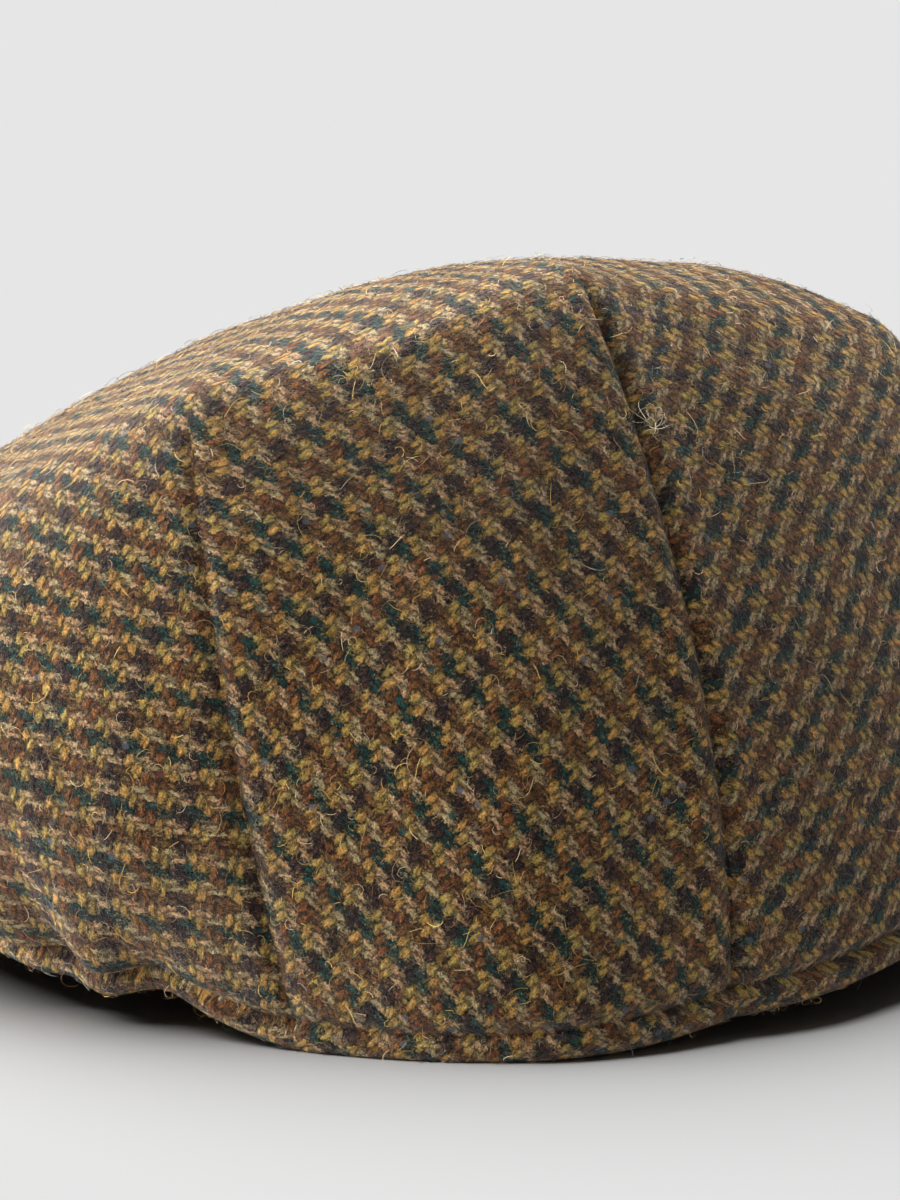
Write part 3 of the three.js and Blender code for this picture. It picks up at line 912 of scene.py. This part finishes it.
class Nodes:
    """Short forms for building a material's nodes."""

    def __init__(self, name):
        self.material = bpy.data.materials.new(name)
        self.material.use_nodes = True
        self.tree = self.material.node_tree
        self.tree.nodes.clear()

    def add(self, kind, inputs=None, **settings):
        node = self.tree.nodes.new("ShaderNode" + kind)
        for key, value in settings.items():
            setattr(node, key, value)
        for key, value in (inputs or {}).items():
            self.put(node.inputs[key], value)
        return node

    def put(self, socket, value):
        """Links a socket to another, or sets its value."""
        if isinstance(value, bpy.types.NodeSocket):
            self.tree.links.new(value, socket)
        else:
            socket.default_value = value

    def math(self, operation, *values):
        node = self.add("Math", operation=operation)
        for socket, value in zip(node.inputs, values):
            self.put(socket, value)
        return node.outputs[0]

    def mix(self, factor, a, b):
        """a where factor is 0, b where it is 1, for numbers."""
        return self.math("MULTIPLY_ADD", factor, self.math("SUBTRACT", b, a), a)

    def blend(self, factor, a, b, mode="MIX"):
        """The same for colours."""
        node = self.add("Mix", data_type="RGBA", blend_type=mode)
        for socket, value in zip((node.inputs[0], node.inputs[6], node.inputs[7]), (factor, a, b)):
            self.put(socket, value)
        return node.outputs[2]

    def tint(self, colour, by):
        return self.blend(1.0, colour, by, "MULTIPLY")

    def grey(self, value):
        inputs = dict.fromkeys(("Red", "Green", "Blue"), value)
        return self.add("CombineColor", inputs).outputs[0]

    def noise(self, vector, scale, detail=2.0, roughness=0.5, distortion=0.0):
        values = {"Vector": vector, "Scale": scale, "Detail": detail, "Roughness": roughness}
        values["Distortion"] = distortion
        return self.add("TexNoise", values, noise_dimensions="3D")

    def parts(self, texture):
        """The three separate values in a texture's colour."""
        return self.add("SeparateColor", {"Color": texture.outputs["Color"]}).outputs

    def combine(self, x, y, z):
        return self.add("CombineXYZ", {"X": x, "Y": y, "Z": z}).outputs[0]

    def at(self, split, depth):
        return self.combine(split[0], split[1], depth)

    def smooth(self, value, low, high):
        """A soft step from 0 at low to 1 at high."""
        inputs = {"Value": value, "From Min": low, "From Max": high}
        return self.add("MapRange", inputs, interpolation_type="SMOOTHSTEP").outputs[0]

    def steps(self, factor, colours):
        """Even steps of colour, with no blending between them."""
        node = self.add("ValToRGB", {"Fac": factor})
        ramp = node.color_ramp
        ramp.interpolation = "CONSTANT"
        while len(ramp.elements) < len(colours):
            ramp.elements.new(0.5)
        for k, (element, colour) in enumerate(zip(ramp.elements, colours)):
            element.position = k / len(colours)
            element.color = (*colour, 1)
        return node.outputs[0]

    def shade(self, inputs):
        """Ends the material with its shader."""
        shader = self.add("BsdfPrincipled", inputs)
        out = self.add("OutputMaterial")
        self.put(out.inputs["Surface"], shader.outputs[0])
        return self.material


def cloth_nodes(g, stray=0.0):
    """The place in the weave in millimetres and the yarns there, or up to stray away from it."""
    place = g.add("UVMap", uv_map="weave").outputs[0]
    split = g.add("SeparateXYZ", {"Vector": place}).outputs
    offsets = [(g.parts(g.noise(place, *noise)), size) for noise, size in WANDER]
    if stray:
        offsets.append((g.parts(g.noise(g.at(split, STRAY_DEPTH), *STRAY_NOISE)), stray))
    wander = [[(parts[k], size) for parts, size in offsets] for k in range(2)]
    return split, yarn_nodes(g, split, wander)


def yarn_nodes(g, split, wander):
    """Which yarn is on top at a place in the twill: its colours, its heather and its rounded height."""

    def thread(along, pitch, offsets):
        for part, size in offsets:
            along = g.math("MULTIPLY_ADD", g.math("SUBTRACT", part, 0.5), size, along)
        return g.math("DIVIDE", along, pitch)

    warp = thread(g.math("MULTIPLY", split[0], -1.0), WARP_PITCH, wander[0])
    weft = thread(split[1], WEFT_PITCH, wander[1])
    end, pick = g.math("FLOOR", warp), g.math("FLOOR", weft)
    warp_in, weft_in = g.math("FRACT", warp), g.math("FRACT", weft)
    shift = g.math("FLOORED_MODULO", g.math("ADD", g.math("ADD", end, pick), 1.0), 2.0 * FLOAT)
    weft_up = g.math("LESS_THAN", shift, FLOAT - 0.5)

    yarns = [YARNS[name] for name in WARP + WEFT]
    end_step = g.math("FLOORED_MODULO", end, len(WARP))
    pick_step = g.math("ADD", g.math("FLOORED_MODULO", pick, len(WEFT)), len(WARP))
    step = g.math("DIVIDE", g.math("ADD", g.mix(weft_up, end_step, pick_step), 0.5), len(yarns))
    body, pale, deep = (g.steps(step, [yarn[k] for yarn in yarns]) for k in range(3))

    across = g.mix(weft_up, warp_in, weft_in)
    along = g.mix(weft_up, weft_in, warp_in)
    under = g.math("MULTIPLY", g.math("SUBTRACT", 1.0, weft_up), FLOAT)
    float_at = g.math("MULTIPLY", g.math("ADD", g.math("SUBTRACT", shift, under), along), 1 / FLOAT)
    wide = g.math("SINE", g.math("MULTIPLY", across, math.pi))
    arch = g.math("SINE", g.math("MULTIPLY", float_at, math.pi))
    yarn = g.math("MULTIPLY", g.math("POWER", wide, YARN_ROUND), g.mix(arch, YARN_DIP, 1.0))

    heather_at = g.combine(
        g.math("MULTIPLY", split[0], g.mix(weft_up, HEATHER_FINE, HEATHER_LONG)),
        g.math("MULTIPLY", split[1], g.mix(weft_up, HEATHER_LONG, HEATHER_FINE)),
        g.math("MULTIPLY", step, HEATHER_APART),
    )
    heather = g.noise(heather_at, *HEATHER_NOISE).outputs["Fac"]
    return {"body": body, "pale": pale, "deep": deep, "heather": heather, "yarn": yarn}


def strand_nodes(g, split, layers):
    """Fine curly strands drawn over the cloth, in layers of a scale and a depth each."""
    strand = 0.0
    for scale, depth in layers:
        ridge = g.noise(g.at(split, depth), scale, *STRAND_NOISE).outputs["Fac"]
        away = g.math("ABSOLUTE", g.math("SUBTRACT", ridge, 0.5))
        strand = g.math("MAXIMUM", strand, g.smooth(away, *STRAND_STEP))
    return strand


def nep_nodes(g, split, colour):
    """Rare bright neps in the yarn."""
    inputs = {"Vector": g.at(split, 0.0), "Scale": NEP_SCALE, "Randomness": 1.0}
    cells = g.add("TexVoronoi", inputs, voronoi_dimensions="2D")
    chance = g.parts(cells)
    inside = g.math("LESS_THAN", cells.outputs["Distance"], NEP_SIZE)
    chosen = g.math("LESS_THAN", chance[0], NEP_CHANCE)
    share = g.math("MULTIPLY", g.math("MULTIPLY", inside, chosen), NEP_SHARE)
    return g.blend(share, colour, g.steps(chance[1], NEP_COLOURS))


def weave_nodes(g):
    """The tweed's colour and relief, from the weave's place in millimetres."""
    split, cloth = cloth_nodes(g)
    _, loose = cloth_nodes(g, STRAY_SIZE)

    tones = g.parts(g.noise(g.at(split, TONE_DEPTH), *TONE_NOISE))
    colour = g.blend(g.smooth(cloth["heather"], *PALE_STEP), cloth["body"], cloth["pale"])
    colour = g.blend(g.smooth(cloth["heather"], *DEEP_STEP), colour, cloth["deep"])
    for tone, share, stray in ((tones[0], STRAY_PALE, "pale"), (tones[1], STRAY_DEEP, "deep")):
        colour = g.blend(g.math("MULTIPLY", g.smooth(tone, *TONE_STEP), share), colour, loose[stray])
    # Painted shade and light: the colour is darkened in the gaps between the yarns and lightened on
    # their tops
    colour = g.tint(colour, g.grey(g.mix(g.smooth(cloth["yarn"], *YARN_SHADE_STEP), *YARN_PAINTED_SHADES)))

    patch = g.noise(g.at(split, WARM_DEPTH), *WARM_NOISE).outputs["Fac"]
    colour = g.tint(colour, g.blend(g.smooth(patch, *WARM_STEP), COOL_TINT, WARM_TINT))
    curl = strand_nodes(g, split, CURL_LAYERS)
    # Painted shade: dark gaps between the strands, drawn into the colour
    gap_shade = strand_nodes(g, split, GAP_SHADE_LAYERS)
    colour = g.tint(colour, g.grey(g.mix(gap_shade, *GAP_PAINTED_SHADES)))
    light = g.blend(g.smooth(tones[2], *CURL_STEP), loose["body"], loose["pale"])
    colour = g.blend(g.math("MULTIPLY", curl, CURL_SHARE), colour, light)
    colour = nep_nodes(g, split, colour)

    height = g.math("MULTIPLY_ADD", curl, CURL_RELIEF, cloth["yarn"])
    height = g.math("MULTIPLY_ADD", g.math("SUBTRACT", tones[2], 0.5), TONE_RELIEF, height)
    return colour, height


def tweed_material(name):
    g = Nodes(name)
    colour, height = weave_nodes(g)
    bump = g.add("Bump", {"Height": height, "Strength": 0.8, "Distance": 0.0009})
    return g.shade({
        "Base Color": colour,
        "Roughness": 0.92,
        "Specular IOR Level": 0.15,
        "Sheen Weight": 0.3,
        "Sheen Roughness": 0.3,
        "Normal": bump.outputs[0],
    })


def wool_material(g, colour):
    """Loose wool of one colour."""
    return g.shade({
        "Base Color": colour,
        "Roughness": 0.7,
        "Specular IOR Level": 0.12,
        "Sheen Weight": 0.4,
        "Sheen Roughness": 0.3,
    })


def fibre_material(name):
    """Loose fibres in the colours of the yarn that they come from."""
    g = Nodes(name)
    _, yarn = cloth_nodes(g)
    tone = g.add("Attribute", attribute_name="tone").outputs["Fac"]
    colour = g.blend(g.smooth(tone, *BODY_TONE), yarn["deep"], yarn["body"])
    colour = g.blend(g.smooth(tone, *PALE_TONE), colour, yarn["pale"])
    return wool_material(g, colour)


def camera_axes():
    """The camera's directions to the right, up and backwards."""
    s, c = math.sin(CAMERA_TURN), math.cos(CAMERA_TURN)
    se, ce = math.sin(CAMERA_RISE), math.cos(CAMERA_RISE)
    back = np.array([s * ce, c * ce, se])
    right = np.array([-c, s, 0])
    up = np.array([-s * se, -c * se, ce])
    return right, up, back


def build_camera():
    right, up, back = camera_axes()
    aside = (PHOTO_MIDDLE[0] - SIGHT_PIXEL[0]) / PIXELS_PER_MM
    above = (SIGHT_PIXEL[1] - PHOTO_MIDDLE[1]) / PIXELS_PER_MM
    target = np.array(SIGHT_POINT) + right * aside + up * above
    eye = to_cad(target + back * CAMERA_AWAY)
    data = bpy.data.cameras.new("camera")
    data.sensor_width = CAMERA_SENSOR
    data.lens = CAMERA_LENS
    data.clip_start, data.clip_end = CAMERA_CLIP
    camera = add_object("camera", data)
    turn = Matrix((right, up, back)).transposed()
    camera.matrix_world = Matrix.Translation(eye) @ turn.to_4x4()
    bpy.context.scene.camera = camera


def build_floor():
    mesh = bpy.data.meshes.new("floor")
    h = FLOOR_HALF
    mesh.from_pydata([(-h, -h, 0), (h, -h, 0), (h, h, 0), (-h, h, 0)], [], [(0, 1, 2, 3)])
    floor = add_object("floor", mesh)
    pale = Nodes("floor_pale").shade({
        "Base Color": FLOOR_COLOUR, "Roughness": 1.0, "Specular IOR Level": 0.0,
    })
    mesh.materials.append(pale)
    return floor


def build_lights(floor):
    """Soft lights on the cap and on the floor, and a faint even light round them."""
    right, _, back = camera_axes()
    ahead = unit(back * [1, 1, 0])
    for light in LIGHTS:
        turn, rise = math.radians(light["turn"]), math.radians(light["rise"])
        level = math.cos(turn) * ahead - math.sin(turn) * right
        towards = math.cos(rise) * level + np.array([0, 0, math.sin(rise)])
        data = bpy.data.lights.new(light["name"], "SUN")
        data.energy = light["strength"]
        data.angle = math.radians(light["width"])
        lamp = add_object(light["name"], data)
        reach = bpy.data.collections.new(light["name"] + "_reach")
        reach.objects.link(floor)
        state = "INCLUDE" if light["reach"] == "floor" else "EXCLUDE"
        reach.collection_objects[0].light_linking.link_state = state
        lamp.light_linking.receiver_collection = reach
        lamp.rotation_mode = "QUATERNION"
        lamp.rotation_quaternion = Vector(-towards).to_track_quat("-Z", "Y")

    world = bpy.data.worlds.new("studio")
    world.use_nodes = True
    background = world.node_tree.nodes["Background"]
    background.inputs["Color"].default_value = (1, 1, 1, 1)
    background.inputs["Strength"].default_value = WORLD_LIGHT
    bpy.context.scene.world = world
    bpy.context.scene.view_settings.view_transform = "Standard"


peak_low, peak_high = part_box("peak")
SHIFT = np.array([(peak_low[0] + peak_high[0]) / 2 / MM, peak_low[1] / MM + PEAK_REACH, 0])

build_camera()
build_lights(build_floor())
crown_outer, crown_weave, crown_cover, crown_tuft = build_crown(tweed_material("crown_cloth"))
peak_faces, peak_weave = build_peak(tweed_material("peak_cloth"))

rng = np.random.default_rng(SEED)
crown_corners = crown_outer.reshape(-1, 3)[band_corners(*crown_outer.shape[:2])]
crown_hair = fibre_material("crown_fibres")
crown_roots = scatter(crown_corners, crown_weave, crown_cover, CROWN_NAP_COUNT, rng)
build_fibres("crown_nap", crown_roots, NAP, crown_hair, rng)
for part in range(CROWN_CURL_PIECES):
    crown_roots = scatter(crown_corners, crown_weave, crown_cover, CROWN_CURL_COUNT, rng)
    build_fibres(f"crown_curls_{part + 1}", crown_roots, CURLS, crown_hair, rng)
tuft_roots = scatter(crown_corners, crown_weave, crown_tuft, TUFT["count"], rng)
tuft_wool = wool_material(Nodes("pale_wool"), TUFT_COLOUR)
build_fibres("crown_tuft", tuft_roots, WISPS, tuft_wool, rng)
peak_roots = scatter(peak_faces, peak_weave, 1.0, PEAK_CURL_COUNT, rng)
build_fibres("peak_curls", peak_roots, CURLS, fibre_material("peak_fibres"), rng)
